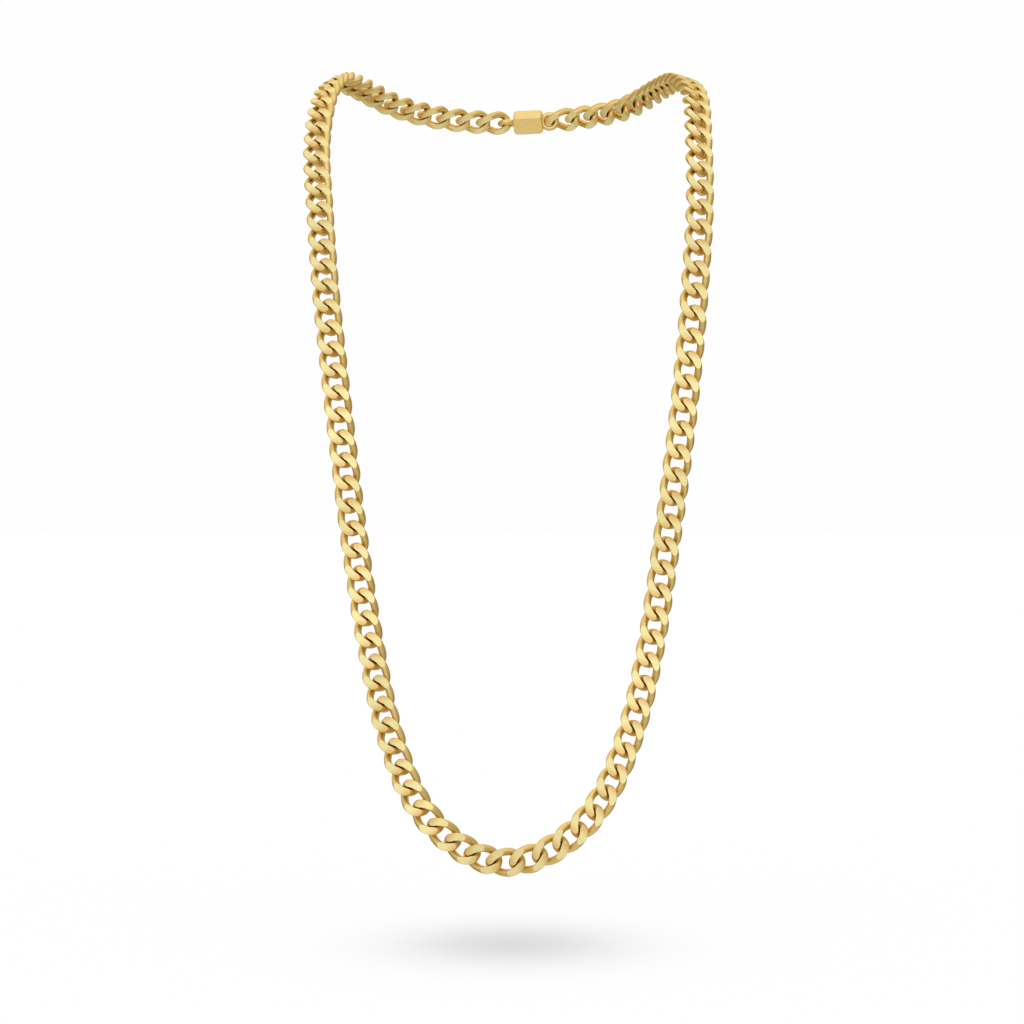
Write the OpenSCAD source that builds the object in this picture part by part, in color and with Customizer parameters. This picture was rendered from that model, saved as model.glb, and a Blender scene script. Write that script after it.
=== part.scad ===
// Curb chain necklace: twisted, flat-cut links on a closed loop, with a plain box clasp at the nape.
// The loop keeps the form that it has when it hangs over the shoulders and down the chest.
// The origin lies midway between the two strands where they pass beside the neck.
// X runs to the right as the necklace is seen from the front, -Y to the front and +Z up.

/* [Chain] */
// Number of links, an odd number so that one hangs in the middle
link_count = 109; // [105:2:113]
// Distance from the middle of one link to the middle of the next
pitch = 6.4; // [6:0.05:6.8]
// How much closer the links lie on the left side, where the chain is pulled less
uneven_pull = 0.08; // [0:0.02:0.16]
// Diameter of the round wire
wire_d = 2.1; // [1.9:0.02:2.14]
// Width of the chain
chain_w = 7.9; // [7.8:0.05:8.2]
// Thickness of the chain between its two flat-cut faces
chain_t = 3; // [2.6:0.1:3.4]
// Turn of each end of a link out of the chain's plane, in degrees
end_turn = 51; // [48:1:54]
// Fullness of the link's oval, where 2 is an ellipse and more is squarer
fullness = 2.6; // [2.4:0.05:2.8]
// Free play that is left between two wires where the links are pulled most
pull_play = 0.16; // [0.14:0.02:0.3]

/* [Clasp] */
// Length of the box
clasp_len = 9; // [7:0.5:12]
// Width of the box
clasp_w = 6.4; // [5.4:0.1:7.4]
// Thickness of the box
clasp_t = 4; // [3.4:0.1:4.6]
// Radius of the box's upright corners
clasp_corner = 1.2; // [0.6:0.1:1.6]
// Wire diameter of the two eye rings
eye_wire = 1.6; // [1.4:0.05:1.7]
// Hole diameter of the two eye rings
eye_hole = 2.7; // [2.6:0.05:2.9]
// Depth to which an eye ring is sunk into the box
eye_seat = 0.8; // [0.6:0.1:1.2]

/* [Hidden] */

// The loop's course, from the middle of the drop over the right shoulder to the nape and back down.
// Columns: x, y, z, then the direction that the chain's outer face looks in.
COURSE = [
    [-1.3, -94.5, -225.4, -0.1, -1, -0.1],
    [11.7, -94.5, -221.6, -0.1, -1, -0.1],
    [24.2, -92, -210, -0.1, -1, 0],
    [33.2, -86.5, -190, -0.1, -1, 0],
    [38.7, -83, -167, -0.1, -1, 0],
    [42.5, -83.5, -142, -0.1, -1, 0],
    [45.8, -86, -117, -0.1, -1, 0],
    [48.7, -85.5, -92, -0.05, -1, 0.05],
    [51, -81.5, -67, 0.05, -1, 0.2],
    [52.8, -72, -44, 0.12, -0.9, 0.45],
    [53.1, -59.5, -25, 0.2, -0.75, 0.65],
    [53, -42.5, -10.5, 0.3, -0.45, 0.85],
    [49.8, -19.5, -3.4, 0.3, -0.2, 0.95],
    [45.5, 3, -2.7, 0.3, 0, 0.95],
    [41.3, 18, -4, 0.35, 0.25, 0.85],
    [33.8, 30.3, -6.5, 0.35, 0.45, 0.75],
    [20, 40.2, -8, 0.2, 0.65, 0.7],
    [0, 44.5, -9, 0, 0.7, 0.7],
    [-20, 41, -8, -0.25, 0.65, 0.7],
    [-34.3, 31.8, -5.5, -0.42, 0.45, 0.75],
    [-43, 21.5, -2.2, -0.52, 0.25, 0.85],
    [-48.6, 10, -0.6, -0.56, 0, 0.9],
    [-52, -1.5, -1.6, -0.44, -0.2, 0.9],
    [-54.8, -19, -9.5, -0.24, -0.4, 0.85],
    [-55.9, -35, -25, -0.08, -0.7, 0.7],
    [-54.2, -49.5, -44, -0.04, -0.85, 0.5],
    [-52, -61, -67, -0.04, -1, 0.3],
    [-49, -69, -92, -0.06, -1, 0.15],
    [-45.9, -72.3, -117, -0.12, -1, 0],
    [-42.8, -71.5, -142, -0.12, -1, 0],
    [-38.7, -75, -167, -0.2, -1, 0],
    [-33.4, -84.5, -190, -0.25, -1, 0],
    [-25, -92.3, -210, -0.18, -1, 0],
    [-12.8, -94.4, -221.6, -0.12, -1, -0.1]
];
// Steps on the smooth curve between two points of the course
COURSE_STEPS = 12;

// Corner places round a link's oval
LINK_SIDES = 12;
// Corners of the wire's cross-section
WIRE_SIDES = 6;
// Height of the cross-section's upper and lower corners, in wire radii
CORNER_HEIGHT = sin(60);
// Step along the oval that gives the wire's direction, in degrees
TURN_STEP = 1;

// The link's oval along the wire's middle: half its length and half its width
oval_length = (pitch + uneven_pull / 2 + wire_d + pull_play) / 2;
oval_width = (chain_w - wire_d) / 2;
// The eye ring: radius of its wire's middle, and distance of its centre from the clasp's middle
eye_r = (eye_hole + eye_wire) / 2;
eye_x = clasp_len / 2 + eye_r + eye_wire / 2 - eye_seat;
// The loop's whole length, and the links counted from its middle one to each end
loop_len = (link_count - 1) * pitch + 2 * (eye_x + oval_length);
half_count = (link_count - 1) / 2;

function unit(v) = v / norm(v);

// Smooth curve through the points b and c, with a before them and d after them
function smooth(a, b, c, d, t) =
    (2 * b + (c - a) * t + (2 * a - 5 * b + 4 * c - d) * t * t + (3 * b - a - 3 * c + d) * t * t * t) / 2;

course_count = len(COURSE);
course_curve = [
    for (i = [0 : course_count - 1], k = [0 : COURSE_STEPS - 1])
        smooth(
            COURSE[(i + course_count - 1) % course_count],
            COURSE[i],
            COURSE[(i + 1) % course_count],
            COURSE[(i + 2) % course_count],
            k / COURSE_STEPS
        ),
    COURSE[0]
];

function place_of(row) = [row[0], row[1], row[2]];

// Length along the course at each of its curve's points
course_lengths = [
    for (
        i = 0, run = 0;
        i < len(course_curve);
        i = i + 1,
        run = i < len(course_curve)
            ? run + norm(place_of(course_curve[i]) - place_of(course_curve[i - 1]))
            : run
    ) run
];
course_len = course_lengths[len(course_lengths) - 1];
// The course is drawn at the loop's real length
course_scale = loop_len / course_len;

// One table for each column of the course, read by the length along it
course_tables = [
    for (column = [0 : 5])
        [for (i = [0 : len(course_curve) - 1]) [course_lengths[i], course_curve[i][column]]]
];

// Place or face at a length along the loop, counted from the middle of the drop to the right
function along_course(run) = (run < 0 ? run + loop_len : run) / course_scale;
function loop_place(run) =
    course_scale * [for (column = [0 : 2]) lookup(along_course(run), course_tables[column])];
function loop_face(run) =
    [for (column = [3 : 5]) lookup(along_course(run), course_tables[column])];

// Frame of a stiff piece that spans two places of the loop: middle, direction, side and face
function frame_between(run_a, run_b) =
    let (
        start = loop_place(run_a),
        end = loop_place(run_b),
        forward = unit(end - start),
        face = loop_face((run_a + run_b) / 2),
        outward = unit(face - (face * forward) * forward)
    )
    [(start + end) / 2, forward, cross(outward, forward), outward];

function in_frame(frame, p) = frame[0] + p[0] * frame[1] + p[1] * frame[2] + p[2] * frame[3];

// A link's number is 0 in the middle of the drop. It grows up the right side and falls up the left.
function link_run(number) = number * (pitch + sign(number) * uneven_pull / 2);
function link_frame(number) = frame_between(link_run(number - 0.5), link_run(number + 0.5));
clasp_run = link_run(half_count) + oval_length + eye_x;
clasp_frame = frame_between(clasp_run - eye_x, clasp_run + eye_x);

// Middle of the wire at an angle round the link's twisted oval
function oval_share(v) = sign(v) * pow(abs(v), 2 / fullness);
function wire_middle(angle) =
    let (
        lengthwise = oval_share(cos(angle)),
        across = oval_width * oval_share(sin(angle)),
        turn = -end_turn * lengthwise
    )
    [oval_length * lengthwise, across * cos(turn), across * sin(turn)];

// Cross-section of the wire there, cut flat where it passes the chain's two faces
function wire_section(angle) =
    let (
        middle = wire_middle(angle),
        direction = unit(wire_middle(angle + TURN_STEP) - wire_middle(angle - TURN_STEP)),
        beside = unit(cross([0, 0, 1], direction)),
        above = cross(direction, beside),
        wire_r = wire_d / 2,
        top = min(CORNER_HEIGHT, (chain_t / 2 - middle[2]) / (wire_r * above[2])),
        bottom = max(-CORNER_HEIGHT, (-chain_t / 2 - middle[2]) / (wire_r * above[2])),
        top_reach = sqrt(1 - top * top),
        bottom_reach = sqrt(1 - bottom * bottom),
        corners = [
            [1, 0],
            [top_reach, top],
            [-top_reach, top],
            [-1, 0],
            [-bottom_reach, bottom],
            [bottom_reach, bottom]
        ]
    )
    [for (c = corners) middle + wire_r * (c[0] * beside + c[1] * above)];

link_points = [
    for (i = [0 : LINK_SIDES - 1])
        each wire_section(360 * i / LINK_SIDES)
];

// Triangles of one link's closed surface, with its points counted from first
function link_faces(first) = [
    for (i = [0 : LINK_SIDES - 1], k = [0 : WIRE_SIDES - 1])
        let (
            here = first + i * WIRE_SIDES,
            next = first + ((i + 1) % LINK_SIDES) * WIRE_SIDES,
            m = (k + 1) % WIRE_SIDES
        )
        each [[here + k, next + k, next + m], [here + k, next + m, here + m]]
];

// The links from one number to another, each a closed solid clear of its neighbours
module chain(first, last) {
    polyhedron(
        points = [for (n = [first : last], p = link_points) in_frame(link_frame(n), p)],
        faces = [for (n = [0 : last - first]) each link_faces(n * len(link_points))],
        convexity = 10
    );
}

// Box of the clasp, with round corners seen from its face
module clasp_box() {
    linear_extrude(height = clasp_t, center = true) {
        square([clasp_len, clasp_w - 2 * clasp_corner], center = true);
        square([clasp_len - 2 * clasp_corner, clasp_w], center = true);
        for (sx = [-1, 1], sy = [-1, 1])
            translate([sx * (clasp_len / 2 - clasp_corner), sy * (clasp_w / 2 - clasp_corner)])
                circle(r = clasp_corner, $fn = 32);
    }
}

// Eye ring that stands square to the end link's wire, at the box's end on side 1 or -1
module eye_ring(side) {
    translate([side * eye_x, 0, 0])
        rotate([side * end_turn - 90, 0, 0])
            rotate_extrude($fn = 48)
                translate([eye_r, 0])
                    circle(d = eye_wire, $fn = 24);
}

module chain_left() {
    color("#d9bd6c") chain(-half_count, 0);
}

module chain_right() {
    color("#d9bd6c") chain(1, half_count);
}

module clasp() {
    f = clasp_frame;
    color("#d2b25c")
        multmatrix([
            [f[1][0], f[2][0], f[3][0], f[0][0]],
            [f[1][1], f[2][1], f[3][1], f[0][1]],
            [f[1][2], f[2][2], f[3][2], f[0][2]],
            [0, 0, 0, 1]
        ]) {
            clasp_box();
            eye_ring(1);
            eye_ring(-1);
        }
}

chain_left();
chain_right();
clasp();
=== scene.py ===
"""Looks of the curb chain necklace: satin gold links and clasp, floor, light and camera.

The chain follows the same course as the solids, with the same links and sizes, in the same frame.
X runs to the right as the necklace is seen from the front, -Y to the front and +Z up.
"""

import bmesh
import bpy
import numpy as np
from mathutils import Matrix, Vector


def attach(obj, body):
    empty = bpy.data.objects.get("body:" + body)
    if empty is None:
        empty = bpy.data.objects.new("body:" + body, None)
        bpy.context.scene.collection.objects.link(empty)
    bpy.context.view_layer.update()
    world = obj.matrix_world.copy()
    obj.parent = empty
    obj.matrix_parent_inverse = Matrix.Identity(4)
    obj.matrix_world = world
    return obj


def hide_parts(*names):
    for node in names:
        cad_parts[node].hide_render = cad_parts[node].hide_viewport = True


MM = 0.001

# Sizes of the chain and the clasp in millimetres, as in the solids
LINK_COUNT = 109
PITCH = 6.4
UNEVEN_PULL = 0.08
WIRE_D = 2.1
CHAIN_W = 7.9
CHAIN_T = 3.0
END_TURN = 51.0
FULLNESS = 2.6
PULL_PLAY = 0.16
CLASP_LEN = 9.0
CLASP_W = 6.4
CLASP_T = 4.0
CLASP_CORNER = 1.2
EYE_WIRE = 1.6
EYE_HOLE = 2.7
EYE_SEAT = 0.8

# The loop's course, from the middle of the drop over the right shoulder to the nape and back down.
# Columns: x, y, z, then the direction that the chain's outer face looks in.
COURSE = np.array([
    [-1.3, -94.5, -225.4, -0.1, -1, -0.1],
    [11.7, -94.5, -221.6, -0.1, -1, -0.1],
    [24.2, -92, -210, -0.1, -1, 0],
    [33.2, -86.5, -190, -0.1, -1, 0],
    [38.7, -83, -167, -0.1, -1, 0],
    [42.5, -83.5, -142, -0.1, -1, 0],
    [45.8, -86, -117, -0.1, -1, 0],
    [48.7, -85.5, -92, -0.05, -1, 0.05],
    [51, -81.5, -67, 0.05, -1, 0.2],
    [52.8, -72, -44, 0.12, -0.9, 0.45],
    [53.1, -59.5, -25, 0.2, -0.75, 0.65],
    [53, -42.5, -10.5, 0.3, -0.45, 0.85],
    [49.8, -19.5, -3.4, 0.3, -0.2, 0.95],
    [45.5, 3, -2.7, 0.3, 0, 0.95],
    [41.3, 18, -4, 0.35, 0.25, 0.85],
    [33.8, 30.3, -6.5, 0.35, 0.45, 0.75],
    [20, 40.2, -8, 0.2, 0.65, 0.7],
    [0, 44.5, -9, 0, 0.7, 0.7],
    [-20, 41, -8, -0.25, 0.65, 0.7],
    [-34.3, 31.8, -5.5, -0.42, 0.45, 0.75],
    [-43, 21.5, -2.2, -0.52, 0.25, 0.85],
    [-48.6, 10, -0.6, -0.56, 0, 0.9],
    [-52, -1.5, -1.6, -0.44, -0.2, 0.9],
    [-54.8, -19, -9.5, -0.24, -0.4, 0.85],
    [-55.9, -35, -25, -0.08, -0.7, 0.7],
    [-54.2, -49.5, -44, -0.04, -0.85, 0.5],
    [-52, -61, -67, -0.04, -1, 0.3],
    [-49, -69, -92, -0.06, -1, 0.15],
    [-45.9, -72.3, -117, -0.12, -1, 0],
    [-42.8, -71.5, -142, -0.12, -1, 0],
    [-38.7, -75, -167, -0.2, -1, 0],
    [-33.4, -84.5, -190, -0.25, -1, 0],
    [-25, -92.3, -210, -0.18, -1, 0],
    [-12.8, -94.4, -221.6, -0.12, -1, -0.1],
])
PLACE_COLUMNS = (0, 1, 2)
FACE_COLUMNS = (3, 4, 5)
COURSE_STEPS = 12

# Fineness of a link: rings round its oval, and points of the wire's section on each of its two
# round sides and two flat cuts
RINGS = 74
SIDE_POINTS = 8
FLAT_POINTS = 4
SECTION = 2 * (SIDE_POINTS + FLAT_POINTS)
OVAL_STEPS = 1440
# How much denser the rings lie at the tips of the flat cuts, and the height within which they do
TIP_RINGS = 3.0
TIP_HEIGHT = 0.15
# Width of the soft edge between a flat cut and the round wire, and the least width of a cut
EDGE = 0.2
LEAST_FLAT = 0.25
# How much thicker the wire is at a link's two ends, and how far its inner side is drawn in there
# besides, so that no gap shows between hooked links. They run into each other by 0.13 to 0.23 mm.
END_SWELL = 0.15
END_FILL = 0.12
FILL_POWER = 8
# Length along the wire over which the colour of a flat cut fades out at its tips
CUT_FADE = 0.35
# Distance from a neighbour's wire over which the painted shade of a crevice fades out
CREVICE_FADE = 0.45
# Shares of the way to a link's end between which the painted shade on its inner side sets in
HOOK_FROM = 0.4
HOOK_TO = 0.8

# Fineness of the clasp, and the radius of its box's soft edges
CLASP_EDGE = 0.25
EDGE_LEVELS = 6
CORNER_POINTS = 9
EYE_RINGS = 64
EYE_SECTION = 24

# Gold of the flat cuts, and their painted shade at their tips toward a link's ends
FLAT_GOLD = (1.0, 0.935, 0.505, 1)
FLAT_END_SHADE_GOLD = (0.84, 0.56, 0.22, 1)
# Gold of the round wire on top, and its painted shade: on its sides, at a link's ends and, deepest, on
# their inner side
ROUND_GOLD = (1.0, 0.81, 0.37, 1)
SIDE_SHADE_GOLD = (0.85, 0.63, 0.23, 1)
END_SHADE_GOLD = (1.0, 0.77, 0.34, 1)
DEEP_SHADE_GOLD = (0.6, 0.33, 0.04, 1)
# Warm painted shade in the slits between hooked links, and the gold of all gold at a flat angle
SLIT_SHADE_GOLD = (1.0, 0.56, 0.12, 1)
EDGE_GOLD = (1.0, 0.91, 0.64, 1)

# Marks and the amounts of painted shade that they give: from, to, least and most amount
END_SHADE_RAMP = (0.55, 0.95, 0.0, 1.0)
HOOK_SHADE_RAMP = (0.1, 0.6, 0.0, 1.0)
SLIT_SHADE_RAMP = (0.5, 0.9, 0.0, 0.9)
RIM_SHADE_RAMP = (0.32, 0.6, 0.0, 0.95)

# Grain and clouds of the satin finish
NOISE_RANGE = (0.3, 0.7)
GRAIN_SCALE = 4200.0
GRAIN_DETAIL = 3.0
GRAIN_ROUGHNESS = 0.6
GRAIN_TINT = (0.9, 0.89, 0.86, 1)
CLOUD_SCALE = 900.0
CLOUD_DETAIL = 2.0
CLOUD_AMOUNT = 0.6
CLOUD_TINT = (0.93, 0.92, 0.88, 1)
GLOSS_RANGE = (0.36, 0.48)
BUMP_STRENGTH = 0.15
BUMP_HEIGHT = 0.00004

# Floor in metres: its height and span, the soft shadow painted under the drop, its tone, and the light
# that it gives back to the camera, which makes it as pale as the backdrop
FLOOR_Z = -0.2462
FLOOR_SPAN = 40.0
SHADOW_PLACE = (0.0005, -0.104)
SHADOW_SPREAD = (0.021, 0.032)
SHADOW_DEPTH = 0.27
FLOOR_TONE = 0.3
FLOOR_GLOW = (0.73, 0.748, 0.781)

# Camera: place in metres, lens and sensor in millimetres, and the farthest distance that it sees
CAMERA_PLACE = (0.0005, -1.070, -0.1297)
CAMERA_LENS = 126.14
CAMERA_SENSOR = 36.0
CAMERA_END = 100

# Light of the surroundings: a warm one from all sides, and soft white ones with their direction, the
# cosines between which they fade in, and their strength
AMBIENT = (0.36, 0.3, 0.21)
SOFT_LIGHTS = (
    ((-0.2, -0.6, 1), -0.2, 1.0, 0.56),
    ((-0.2, -0.6, 0.0), 0.72, 1.0, 0.47),
    ((-0.5, 0.8, 0.5), 0.7, 1.0, 0.3),
    ((0.4, 0.5, 1), 0.6, 1.0, 0.3),
    ((0.7, -0.7, 0.1), 0.4, 1.0, 0.06),
    ((0, -0.1, -1), 0.5, 1.0, 0.45),
    ((0, 1, 0), 0.6, 1.0, 0.32),
)
BACKDROP = (0.99, 0.99, 0.99, 1)

# The link's oval along the wire's middle: half its length and half its width
OVAL_LENGTH = (PITCH + UNEVEN_PULL / 2 + WIRE_D + PULL_PLAY) / 2
OVAL_WIDTH = (CHAIN_W - WIRE_D) / 2
WIRE_R = WIRE_D / 2
# The eye ring: radius of its wire's middle, and distance of its centre from the clasp's middle
EYE_R = (EYE_HOLE + EYE_WIRE) / 2
EYE_X = CLASP_LEN / 2 + EYE_R + EYE_WIRE / 2 - EYE_SEAT
LOOP_LEN = (LINK_COUNT - 1) * PITCH + 2 * (EYE_X + OVAL_LENGTH)
HALF_COUNT = (LINK_COUNT - 1) // 2


def unit(v):
    return v / np.linalg.norm(v, axis=-1, keepdims=True)


def course_curve():
    """The smooth closed curve through the course's rows of place and face."""
    b = COURSE[:, None, :]
    a = np.roll(b, 1, axis=0)
    c = np.roll(b, -1, axis=0)
    d = np.roll(b, -2, axis=0)
    t = (np.arange(COURSE_STEPS) / COURSE_STEPS)[None, :, None]
    square = (2 * a - 5 * b + 4 * c - d) * t**2
    cube = (3 * b - a - 3 * c + d) * t**3
    curve = ((2 * b + (c - a) * t + square + cube) / 2).reshape(-1, COURSE.shape[1])
    return np.vstack([curve, curve[:1]])


CURVE = course_curve()
CURVE_STEPS = np.linalg.norm(np.diff(CURVE[:, PLACE_COLUMNS], axis=0), axis=1)
CURVE_LENGTHS = np.concatenate([[0], np.cumsum(CURVE_STEPS)])
# The course is drawn at the loop's real length
COURSE_SCALE = LOOP_LEN / CURVE_LENGTHS[-1]


def along_course(run, columns):
    """Columns of the course at a length along the loop, counted from the middle of the drop."""
    at = (run % LOOP_LEN) / COURSE_SCALE
    return np.array([np.interp(at, CURVE_LENGTHS, CURVE[:, column]) for column in columns])


def frame_between(run_a, run_b):
    """Matrix of a stiff piece that spans two places of the loop: direction, side, face, middle."""
    start = COURSE_SCALE * along_course(run_a, PLACE_COLUMNS)
    end = COURSE_SCALE * along_course(run_b, PLACE_COLUMNS)
    face = along_course((run_a + run_b) / 2, FACE_COLUMNS)
    forward = unit(end - start)
    outward = unit(face - (face @ forward) * forward)
    matrix = np.eye(4)
    matrix[:3] = np.column_stack([forward, np.cross(outward, forward), outward, (start + end) / 2])
    return matrix


def link_run(number):
    """Length along the loop to a link, 0 in the middle of the drop and growing up the right side."""
    return number * (PITCH + np.sign(number) * UNEVEN_PULL / 2)


def link_frame(number):
    return frame_between(link_run(number - 0.5), link_run(number + 0.5))


def oval_share(v):
    return np.sign(v) * np.abs(v) ** (2 / FULLNESS)


def wire_middle(angle):
    """Middle of the wire at an angle round the link's twisted oval."""
    lengthwise = oval_share(np.cos(angle))
    across = OVAL_WIDTH * oval_share(np.sin(angle))
    turn = -np.radians(END_TURN) * lengthwise
    return np.column_stack([OVAL_LENGTH * lengthwise, across * np.cos(turn), across * np.sin(turn)])


def wire_radius(end_share):
    """Radius of the wire at a share of the way from the link's middle to its end."""
    return WIRE_R + END_SWELL / 2 * end_share**2 + END_FILL / 2 * end_share**FILL_POWER


def wire_rings():
    """Middle, direction and place along the wire of each ring of a link, and the wire's length.

    The rings lie closer where the wire's crown passes through the plane of a flat cut.
    """
    number = np.arange(OVAL_STEPS)
    curve = wire_middle(number * 2 * np.pi / OVAL_STEPS)
    ahead, behind = np.roll(curve, -1, axis=0), np.roll(curve, 1, axis=0)
    steps = np.linalg.norm(ahead - curve, axis=1)
    direction = unit(ahead - behind)
    radius = wire_radius(curve[:, 0] / OVAL_LENGTH)
    crown = np.abs(curve[:, 2]) + radius * np.sqrt(1 - direction[:, 2]**2)
    density = 1 + TIP_RINGS * np.exp(-((crown - CHAIN_T / 2) / TIP_HEIGHT)**2)

    ring_numbers = np.concatenate([[0], np.cumsum(steps * density)])
    lengths = np.concatenate([[0], np.cumsum(steps)])
    all_steps = np.arange(OVAL_STEPS + 1)
    at = np.interp(np.arange(RINGS) / RINGS * ring_numbers[-1], ring_numbers, all_steps)

    def at_rings(columns):
        return np.column_stack([np.interp(at, number, v, period=OVAL_STEPS) for v in columns.T])

    return at_rings(curve), unit(at_rings(direction)), np.interp(at, all_steps, lengths), lengths[-1]


RING_MIDDLES, RING_WAYS, RING_PLACES, WIRE_LENGTH = wire_rings()


def section_shape(top, bottom):
    """The wire's section in radii, cut flat at the heights top and bottom.

    Gives its points, their outward normals, and 1 for each point on a flat cut. It starts low on
    the right and runs round over the top.
    """
    least = LEAST_FLAT / 2
    edge = EDGE / WIRE_R
    steepest = np.sqrt(1 - least**2)
    shape, normals, cut = [], [], []

    def side(sign):
        low = np.arcsin(max(bottom, -steepest)) + edge
        high = np.arcsin(min(top, steepest)) - edge
        for angle in np.linspace(low, high, SIDE_POINTS)[::sign]:
            point = (sign * np.cos(angle), np.sin(angle))
            shape.append(point)
            normals.append(point)
            cut.append(0.0)

    def flat(height, sign):
        reach = max(np.sqrt(max(0, 1 - height**2)), least) - edge / 2
        for x in sign * np.linspace(reach, -reach, FLAT_POINTS):
            round_height = np.sqrt(1 - x**2)
            on_cut = abs(height) < round_height
            shape.append((x, sign * (abs(height) if on_cut else round_height)))
            normals.append((0, sign) if on_cut else (x, sign * round_height))
            cut.append(float(on_cut))

    side(1)
    flat(top, 1)
    side(-1)
    flat(bottom, -1)
    return shape, normals, cut


def soft_along_wire(marks):
    """Marks of the rings' points, each blended with those before and after it along the wire."""
    apart = np.abs(RING_PLACES[:, None] - RING_PLACES)
    apart = np.minimum(apart, WIRE_LENGTH - apart)
    spacing = (np.roll(RING_PLACES, -1) - np.roll(RING_PLACES, 1)) % WIRE_LENGTH
    weights = np.exp(-(apart / CUT_FADE)**2) * spacing
    return weights @ marks / weights.sum(axis=1, keepdims=True)


def link_surface():
    """Points, normals and flat-cut marks of one link, ring by ring, in its own frame."""
    points, normals, cuts = [], [], []
    for middle, direction in zip(RING_MIDDLES, RING_WAYS):
        beside = unit(np.cross([0, 0, 1], direction))
        above = np.cross(direction, beside)
        end_share = middle[0] / OVAL_LENGTH
        radius = wire_radius(end_share)
        centre = middle - [END_FILL / 2 * np.sign(end_share) * end_share**FILL_POWER, 0, 0]
        top = (CHAIN_T / 2 - centre[2]) / (radius * above[2])
        bottom = (-CHAIN_T / 2 - centre[2]) / (radius * above[2])
        shape, shape_normals, cut = section_shape(min(top, 1), max(bottom, -1))
        axes = np.array([beside, above])
        ring_normals = np.array(shape_normals) @ axes
        on_cut = np.array(cut) > 0
        ring_normals[on_cut] = np.sign(ring_normals[on_cut][:, 2:]) * [0, 0, 1]
        points.append(centre + radius * np.array(shape) @ axes)
        normals.append(ring_normals)
        cuts.append(cut)
    return np.array(points), unit(np.array(normals)), soft_along_wire(np.array(cuts))


def ring_faces(rings, section):
    """Four-sided faces of a closed tube of rings."""
    i, k = np.meshgrid(np.arange(rings), np.arange(section), indexing="ij")
    here, ahead = i * section, (i + 1) % rings * section
    m = (k + 1) % section
    return np.stack([here + k, here + m, ahead + m, ahead + k], axis=-1).reshape(-1, 4)


def crevices(points):
    """How near each point of a link lies to the wires of its two neighbours, from 0 to 1: the mask of
    the painted shade where links meet.
    """
    gap = np.full(len(points), np.inf)
    for shift in (-PITCH, PITCH):
        for middle in RING_MIDDLES + [shift, 0, 0]:
            gap = np.minimum(gap, np.linalg.norm(points - middle, axis=1) - WIRE_R)
    return np.exp(-np.maximum(gap, 0) / CREVICE_FADE)


def hooks(normals):
    """How much each point of a link looks inward at one of its two ends, from 0 to 1: the mask of the
    painted shade on the ends' inner side.
    """
    inward = -np.einsum("rsk,rk->rs", normals.reshape(RINGS, SECTION, 3), unit(RING_MIDDLES))
    end_share = np.abs(RING_MIDDLES[:, :1]) / OVAL_LENGTH
    near_end = np.clip((end_share - HOOK_FROM) / (HOOK_TO - HOOK_FROM), 0, 1)
    return (np.clip(inward, 0, 1) * near_end).ravel()


def new_object(name, mesh):
    obj = bpy.data.objects.new(name, mesh)
    bpy.context.scene.collection.objects.link(obj)
    return obj


def build_chain(name, first, last, material):
    """The links from one number to another, with the marks that their colour and its painted shade
    read.
    """
    points, normals, cuts = link_surface()
    points, normals = points.reshape(-1, 3), normals.reshape(-1, 3)
    faces = ring_faces(RINGS, SECTION)
    # Marks for the colour: the flat cuts, and the masks of painted shade near neighbours, on the wire's
    # sides, toward the ends and on the ends' inner side
    marks = {
        "flat_cut": cuts.ravel(),
        "crevice_shade": crevices(points),
        "side": 1 - np.abs(normals[:, 2]),
        "end": np.abs(points[:, 0]) / (OVAL_LENGTH + WIRE_R),
        "hook_shade": hooks(normals),
    }
    links = range(first, last + 1)
    all_points, all_normals, all_faces = [], [], []
    for order, number in enumerate(links):
        matrix = link_frame(number)
        turn, shift = matrix[:3, :3], matrix[:3, 3]
        all_points.append((points @ turn.T + shift) * MM)
        all_normals.append(normals @ turn.T)
        all_faces.append(faces + order * len(points))
    mesh = bpy.data.meshes.new(name)
    mesh.from_pydata(np.vstack(all_points).tolist(), [], np.vstack(all_faces).tolist())
    mesh.shade_smooth()
    mesh.normals_split_custom_set_from_vertices(np.vstack(all_normals).tolist())
    for mark, values in marks.items():
        all_values = np.tile(values, len(links)).astype(np.float32)
        mesh.attributes.new(mark, "FLOAT", "POINT").data.foreach_set("value", all_values)
    mesh.materials.append(material)
    chain = new_object(name, mesh)
    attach(chain, "root")
    return chain


def add_eye_ring(bm, side):
    """Adds the eye ring at the box's end on side 1 or -1, square to the end link's wire."""
    centre = (side * EYE_X, 0, 0)
    tilt = np.radians(side * END_TURN - 90)
    turn = Matrix.Translation(centre) @ Matrix.Rotation(tilt, 4, "X")
    verts = []
    for around in np.arange(EYE_RINGS) * 2 * np.pi / EYE_RINGS:
        for angle in np.arange(EYE_SECTION) * 2 * np.pi / EYE_SECTION:
            reach = EYE_R + EYE_WIRE / 2 * np.cos(angle)
            height = EYE_WIRE / 2 * np.sin(angle)
            place = Vector((reach * np.cos(around), reach * np.sin(around), height))
            verts.append(bm.verts.new(turn @ place))
    for quad in ring_faces(EYE_RINGS, EYE_SECTION):
        bm.faces.new([verts[v] for v in quad])


def clasp_outline(inset):
    """The box's outline with round corners, drawn in by an inset."""
    radius = CLASP_CORNER - inset
    outline = []
    for quarter, (sx, sy) in enumerate([(1, 1), (-1, 1), (-1, -1), (1, -1)]):
        for angle in np.radians(90 * quarter + np.linspace(0, 90, CORNER_POINTS)):
            outline.append((
                sx * (CLASP_LEN / 2 - CLASP_CORNER) + radius * np.cos(angle),
                sy * (CLASP_W / 2 - CLASP_CORNER) + radius * np.sin(angle),
            ))
    return outline


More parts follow.
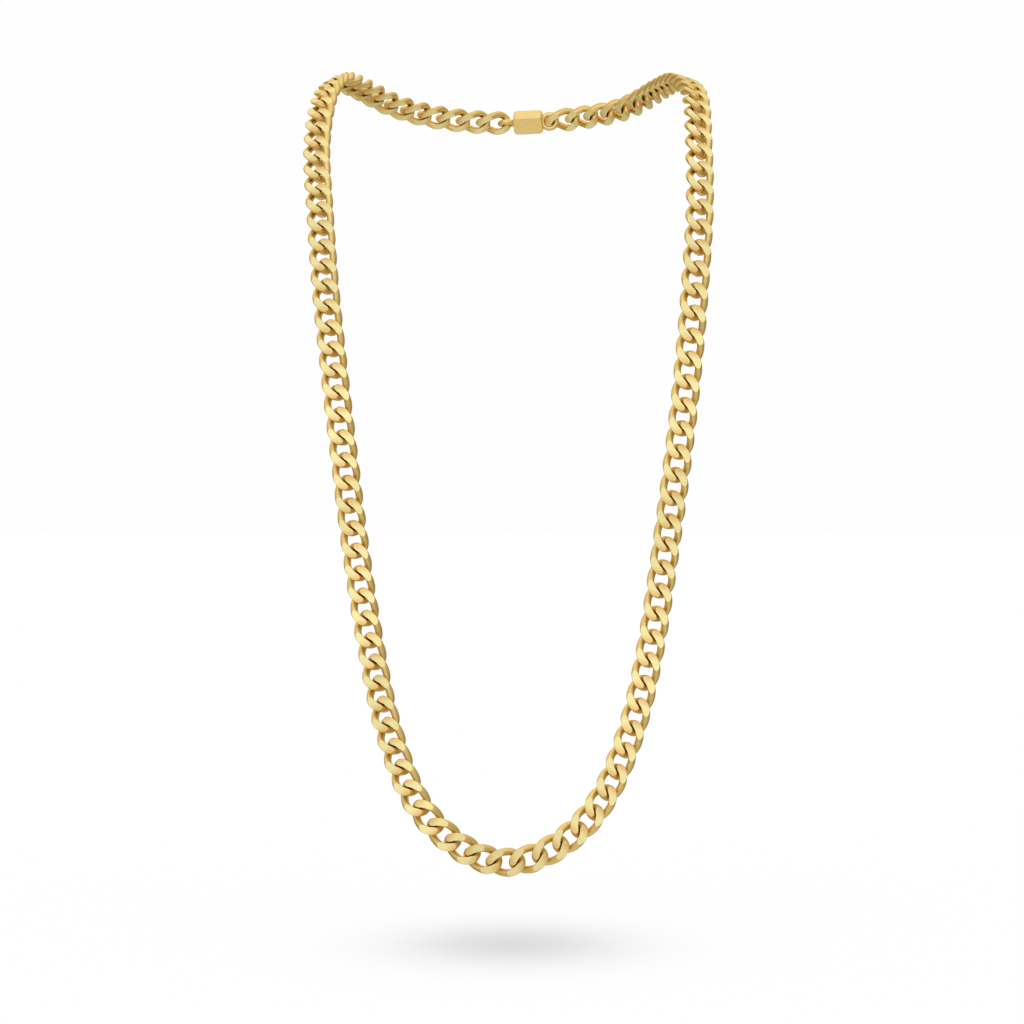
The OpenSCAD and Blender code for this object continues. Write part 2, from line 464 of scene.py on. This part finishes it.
def add_clasp_box(bm):
    """Adds the box, closed between loops that follow its soft upper and lower edges."""
    edge_angles = np.radians(np.linspace(90, 0, EDGE_LEVELS))
    upper = [
        (CLASP_EDGE * (1 - np.cos(angle)), CLASP_T / 2 - CLASP_EDGE * (1 - np.sin(angle)))
        for angle in edge_angles
    ]
    levels = upper + [(inset, -z) for inset, z in upper[::-1]]
    loops = [[bm.verts.new((x, y, z)) for x, y in clasp_outline(inset)] for inset, z in levels]
    for above, below in zip(loops, loops[1:]):
        for k in range(len(above)):
            m = (k + 1) % len(above)
            bm.faces.new([above[k], below[k], below[m], above[m]])
    bm.faces.new(loops[0])
    bm.faces.new(loops[-1][::-1])


def build_clasp(material):
    """The box with its two eye rings, between the two end links."""
    bm = bmesh.new()
    add_clasp_box(bm)
    for side in (-1, 1):
        add_eye_ring(bm, side)
    start = link_run(HALF_COUNT) + OVAL_LENGTH
    matrix = frame_between(start, start + 2 * EYE_X)
    bm.transform(Matrix.Scale(MM, 4) @ Matrix(matrix.tolist()))
    bmesh.ops.recalc_face_normals(bm, faces=bm.faces)
    mesh = bpy.data.meshes.new("clasp_body")
    bm.to_mesh(mesh)
    bm.free()
    mesh.shade_smooth()
    mesh.materials.append(material)
    clasp = new_object("clasp_body", mesh)
    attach(clasp, "root")
    return clasp


class Nodes:
    """Short calls for making and joining the nodes of a material or of the surroundings."""

    def __init__(self, owner):
        owner.use_nodes = True
        self.tree = owner.node_tree
        self.tree.nodes.clear()

    def put(self, socket, value):
        if isinstance(value, bpy.types.NodeSocket):
            self.tree.links.new(value, socket)
        else:
            socket.default_value = value

    def add(self, kind, inputs=None, **settings):
        node = self.tree.nodes.new(kind)
        for key, value in settings.items():
            setattr(node, key, value)
        for key, value in (inputs or {}).items():
            self.put(node.inputs[key], value)
        return node

    def mix(self, amount, a, b, blend="MIX"):
        inputs = {0: amount, 6: a, 7: b}
        return self.add("ShaderNodeMix", inputs, data_type="RGBA", blend_type=blend).outputs[2]

    def ramp(self, value, low, high, to_low, to_high, kind="LINEAR"):
        ends = {"From Min": low, "From Max": high, "To Min": to_low, "To Max": to_high}
        node = self.add("ShaderNodeMapRange", {"Value": value, **ends}, interpolation_type=kind)
        return node.outputs["Result"]

    def math(self, operation, a, b=0.0):
        return self.add("ShaderNodeMath", {0: a, 1: b}, operation=operation).outputs[0]

    def mark(self, name):
        return self.add("ShaderNodeAttribute", attribute_name=name).outputs["Fac"]

    def noise(self, scale, detail, roughness=0.5):
        place = self.add("ShaderNodeTexCoord").outputs["Object"]
        inputs = {"Vector": place, "Scale": scale, "Detail": detail, "Roughness": roughness}
        return self.add("ShaderNodeTexNoise", inputs).outputs["Fac"]


def link_colour(n):
    """Gold of a link by its marks, with painted shade.

    It is pale on the flat cuts and richer on the round wire. Painted shade makes it richer on the
    wire's sides and toward the link's ends, and deep on their inner side and where two links meet.
    """
    end_shade = n.ramp(n.mark("end"), *END_SHADE_RAMP)
    crevice_shade = n.mark("crevice_shade")
    # Painted shade on the round wire: on its sides, toward the link's ends, deep on their inner side
    # and warm in the slits
    round_wire = n.mix(n.mark("side"), ROUND_GOLD, SIDE_SHADE_GOLD)
    round_wire = n.mix(end_shade, round_wire, END_SHADE_GOLD)
    round_wire = n.mix(n.ramp(n.mark("hook_shade"), *HOOK_SHADE_RAMP), round_wire, DEEP_SHADE_GOLD)
    round_wire = n.mix(n.ramp(crevice_shade, *SLIT_SHADE_RAMP), round_wire, SLIT_SHADE_GOLD)
    # Painted shade on the flat cuts: toward the link's ends, and deep on their rims near a neighbour's
    # wire
    flat = n.mix(end_shade, FLAT_GOLD, FLAT_END_SHADE_GOLD)
    flat = n.mix(n.ramp(crevice_shade, *RIM_SHADE_RAMP), flat, DEEP_SHADE_GOLD)
    return n.mix(n.mark("flat_cut"), round_wire, flat)


def satin_gold(name, colour_of):
    """Satin gold with a fine grain in its tone, gloss and surface, and a slightly cloudy tone."""
    material = bpy.data.materials.new(name)
    n = Nodes(material)
    grain = n.noise(GRAIN_SCALE, GRAIN_DETAIL, GRAIN_ROUGHNESS)
    cloud = n.noise(CLOUD_SCALE, CLOUD_DETAIL)
    cloudy = n.ramp(cloud, *NOISE_RANGE, 0.0, CLOUD_AMOUNT)
    grainy = n.ramp(grain, *NOISE_RANGE, 0.0, 1.0)
    colour = n.mix(cloudy, colour_of(n), CLOUD_TINT, "MULTIPLY")
    colour = n.mix(grainy, colour, GRAIN_TINT, "MULTIPLY")
    relief = {"Height": grain, "Strength": BUMP_STRENGTH, "Distance": BUMP_HEIGHT}
    shader = n.add("ShaderNodeBsdfPrincipled", {
        "Base Color": colour,
        "Metallic": 1.0,
        "Roughness": n.ramp(grain, *NOISE_RANGE, *GLOSS_RANGE),
        "Specular Tint": EDGE_GOLD,
        "Normal": n.add("ShaderNodeBump", relief).outputs["Normal"],
    })
    n.add("ShaderNodeOutputMaterial", {"Surface": shader.outputs["BSDF"]})
    return material


def floor_material():
    """Plain pale floor with a soft round shadow painted under the drop."""
    material = bpy.data.materials.new("pale_floor")
    n = Nodes(material)
    moved = n.add("ShaderNodeMapping", {
        "Vector": n.add("ShaderNodeTexCoord").outputs["Object"],
        "Location": (*SHADOW_PLACE, 0),
        "Scale": (*SHADOW_SPREAD, 1),
    }, vector_type="TEXTURE").outputs["Vector"]
    spreads = n.add("ShaderNodeVectorMath", {0: moved}, operation="LENGTH").outputs["Value"]
    shade = n.math("EXPONENT", n.math("MULTIPLY", n.math("POWER", spreads, 2.0), -0.5))
    amount = n.math("MULTIPLY", shade, SHADOW_DEPTH)
    black = (0, 0, 0, 1)
    tone = n.mix(amount, (FLOOR_TONE, FLOOR_TONE, FLOOR_TONE, 1), black)
    glow = n.mix(amount, (*FLOOR_GLOW, 1), black)
    seen = n.add("ShaderNodeLightPath").outputs["Is Camera Ray"]
    surface = n.add("ShaderNodeBsdfDiffuse", {"Color": tone})
    lit = n.add("ShaderNodeEmission", {"Color": glow, "Strength": seen})
    both = n.add("ShaderNodeAddShader", {0: surface.outputs[0], 1: lit.outputs[0]})
    n.add("ShaderNodeOutputMaterial", {"Surface": both.outputs[0]})
    return material


def build_floor():
    half = FLOOR_SPAN / 2
    corners = [(x, y, FLOOR_Z) for x, y in ((-half, -half), (half, -half), (half, half), (-half, half))]
    mesh = bpy.data.meshes.new("floor")
    mesh.from_pydata(corners, [], [(0, 1, 2, 3)])
    mesh.materials.append(floor_material())
    floor = new_object("floor", mesh)
    floor.visible_glossy = False


def build_world():
    """Warm light from all sides with soft white lights in it, behind a plain backdrop."""
    world = bpy.data.worlds.new("studio")
    n = Nodes(world)
    way = n.add("ShaderNodeTexCoord").outputs["Generated"]
    light = 0.0
    for direction, low, high, strength in SOFT_LIGHTS:
        toward = n.add("ShaderNodeVectorMath", {
            0: way, 1: Vector(direction).normalized(),
        }, operation="DOT_PRODUCT").outputs["Value"]
        light = n.math("ADD", light, n.ramp(toward, low, high, 0.0, strength, "SMOOTHSTEP"))
    around = n.add("ShaderNodeVectorMath", {0: AMBIENT, 1: light}, operation="ADD").outputs["Vector"]
    seen = n.add("ShaderNodeLightPath").outputs["Is Camera Ray"]
    soft = n.add("ShaderNodeBackground", {"Color": around, "Strength": 1.0})
    backdrop = n.add("ShaderNodeBackground", {"Color": BACKDROP, "Strength": 1.0})
    both = n.add("ShaderNodeMixShader", {0: seen, 1: soft.outputs[0], 2: backdrop.outputs[0]})
    n.add("ShaderNodeOutputWorld", {"Surface": both.outputs[0]})
    bpy.context.scene.world = world


def build_camera():
    """Camera straight in front of the necklace, level with the middle of its height."""
    camera = bpy.data.cameras.new("camera")
    camera.lens = CAMERA_LENS
    camera.sensor_width = CAMERA_SENSOR
    camera.clip_end = CAMERA_END
    obj = new_object("camera", camera)
    obj.location = CAMERA_PLACE
    obj.rotation_euler = (np.pi / 2, 0, 0)
    bpy.context.scene.camera = obj


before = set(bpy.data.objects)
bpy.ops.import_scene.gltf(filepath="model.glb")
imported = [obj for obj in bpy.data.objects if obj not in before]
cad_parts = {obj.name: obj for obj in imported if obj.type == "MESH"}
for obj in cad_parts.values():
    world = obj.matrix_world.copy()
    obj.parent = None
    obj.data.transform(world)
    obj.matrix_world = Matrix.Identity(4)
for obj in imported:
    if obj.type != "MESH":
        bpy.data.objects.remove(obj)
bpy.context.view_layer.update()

build_camera()
build_world()
build_floor()
bpy.context.scene.view_settings.view_transform = "Standard"

chain_gold = satin_gold("satin_gold", link_colour)
clasp_gold = satin_gold("clasp_gold", lambda n: ROUND_GOLD)

for name, first, last in (("chain_left", -HALF_COUNT, 0), ("chain_right", 1, HALF_COUNT)):
    chain = build_chain(name + "_links", first, last, chain_gold)
    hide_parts(name)
clasp = build_clasp(clasp_gold)
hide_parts("clasp")
